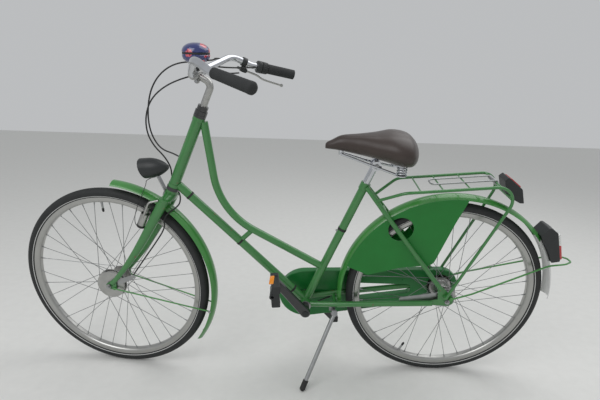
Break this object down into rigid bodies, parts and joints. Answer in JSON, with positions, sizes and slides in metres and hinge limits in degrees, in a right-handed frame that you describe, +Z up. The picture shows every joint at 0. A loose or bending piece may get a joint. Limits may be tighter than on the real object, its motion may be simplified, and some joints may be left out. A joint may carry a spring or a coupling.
{
  "type": "city bicycle with a low step-through frame",
  "caption": "Step-through city bicycle on its side stand: laced wheels, fenders, rear rack with spring clip, chain case, swept-back bar, block pedals, lamps and bell.",
  "frame": {"origin": "middle of the bounding box at the ground, with the bicycle parked and leaning on its side stand", "axes": "+X points to the rear of the bicycle, +Y to the rider's right, +Z up"},
  "size_m": [1.9641, 0.6506, 1.1689],
  "materials": {
    "frame_paint": "glossy green enamel",
    "fender_paint": "glossy green enamel, white on the tail of the rear fender",
    "galvanised_steel": "zinc-plated steel, slightly dulled",
    "chrome": "polished chrome plate",
    "aluminium": "satin cast and turned aluminium",
    "tyre_rubber": "matt black tyre rubber with moulded tread and a pale sidewall band",
    "black_plastic": "moulded matt black plastic",
    "black_paint": "glossy black enamel",
    "grip_rubber": "black foam and rubber",
    "saddle_cover": "grained dark brown vinyl cover with sewn edges",
    "chain_steel": "oiled steel",
    "tail_red": "moulded red lens",
    "clear_lens": "moulded clear lens over a bright reflector",
    "amber_lens": "moulded amber reflector",
    "bell_enamel": null,
    "guard_plastic": "moulded green plastic sheet",
    "case_plastic": "moulded green plastic",
    "cable_black": "smooth black cable housing"
  },
  "bodies": {
    "frame": {"head_tube": "frame_paint", "headset_cups": "black_paint", "bottom_bracket_cups": "galvanised_steel", "seat_tube": "frame_paint", "top_tube": "frame_paint", "down_tube": "frame_paint", "chain_stays": "frame_paint", "seat_stays": "frame_paint", "rear_axle": "galvanised_steel", "chain": "chain_steel", "chain_case": "case_plastic", "rear_fender": "fender_paint", "stand_bracket": "galvanised_steel", "seat_post": "chrome", "saddle": "saddle_cover", "rear_fender_hoop": "fender_paint", "tail_lamp": "black_plastic", "rack": "frame_paint", "rack_reflector": "black_plastic", "skirt_guards": "guard_plastic", "coaster_arm": "galvanised_steel", "saddle_frame": "chrome", "gear_cable": "cable_black"},
    "steering": {"fork": "frame_paint", "headset_locknut": "black_paint", "front_axle": "galvanised_steel", "front_brake_plate": "aluminium", "front_fender": "fender_paint", "stem": "aluminium", "handlebar": "chrome", "left_grip": "grip_rubber", "right_grip": "grip_rubber", "gear_shifter": "black_plastic", "brake_lever": "aluminium", "bell": "bell_enamel", "headlamp": "black_plastic", "lamp_bracket": "galvanised_steel", "dynamo": "aluminium", "front_brake_arm": "galvanised_steel", "front_fender_stays": "fender_paint", "brake_cable": "cable_black", "gear_cable_loop": "cable_black"},
    "front_wheel": {"front_tyre": "tyre_rubber", "front_rim": "aluminium", "front_spokes": "galvanised_steel", "front_hub": "aluminium"},
    "rear_wheel": {"rear_tyre": "tyre_rubber", "rear_rim": "aluminium", "rear_spokes": "galvanised_steel", "rear_hub": "aluminium", "rear_sprocket": "chain_steel"},
    "crank_set": {"left_crank": "black_paint", "right_crank": "black_paint", "crank_axle": "galvanised_steel"},
    "pedal_left": {"left_pedal": "black_plastic"},
    "pedal_right": {"right_pedal": "black_plastic"},
    "stand": {"stand_leg": "galvanised_steel", "stand_foot": "grip_rubber"},
    "clip": {"rack_clip": "galvanised_steel"}
  },
  "joints": [
    {"name": "steering", "type": "hinge", "parent": "frame", "child": "steering", "pos_m": [-0.39326, 0.05156, 0.71743], "axis": [0.3915, -0.1439, 0.9088], "range_deg": [-52, 68]},
    {"name": "front_wheel_spin", "type": "hinge", "parent": "steering", "child": "front_wheel", "pos_m": [-0.63479, 0.12074, 0.3483], "axis": [0.1281, 0.9866, 0.1011], "continuous": true},
    {"name": "rear_wheel_spin", "type": "hinge", "parent": "frame", "child": "rear_wheel", "pos_m": [0.55453, 0.11041, 0.34592], "axis": [0, 0.9877, 0.1564], "continuous": true},
    {"name": "crank_turn", "type": "hinge", "parent": "frame", "child": "crank_set", "pos_m": [0.05987, 0.11941, 0.28905], "axis": [0, 0.9877, 0.1564], "range_deg": [-131, 150]},
    {"name": "left_pedal_spin", "type": "hinge", "parent": "crank_set", "child": "pedal_left", "pos_m": [-0.04929, 0.09903, 0.41777], "axis": [0, 0.9877, 0.1564], "continuous": true},
    {"name": "right_pedal_spin", "type": "hinge", "parent": "crank_set", "child": "pedal_right", "pos_m": [0.16903, 0.1398, 0.16034], "axis": [0, 0.9877, 0.1564], "continuous": true},
    {"name": "stand_fold", "type": "hinge", "parent": "frame", "child": "stand", "pos_m": [0.16585, 0.08071, 0.25853], "axis": [0.0004, -0.9397, 0.342], "range_deg": [0, 115], "stiffness_Nm_per_rad": 0.4},
    {"name": "rack_clip_lift", "type": "hinge", "parent": "frame", "child": "clip", "pos_m": [0.65731, 0.04245, 0.77498], "axis": [0, 0.9877, 0.1564], "range_deg": [0, 70], "stiffness_Nm_per_rad": 0.05}
  ]
}
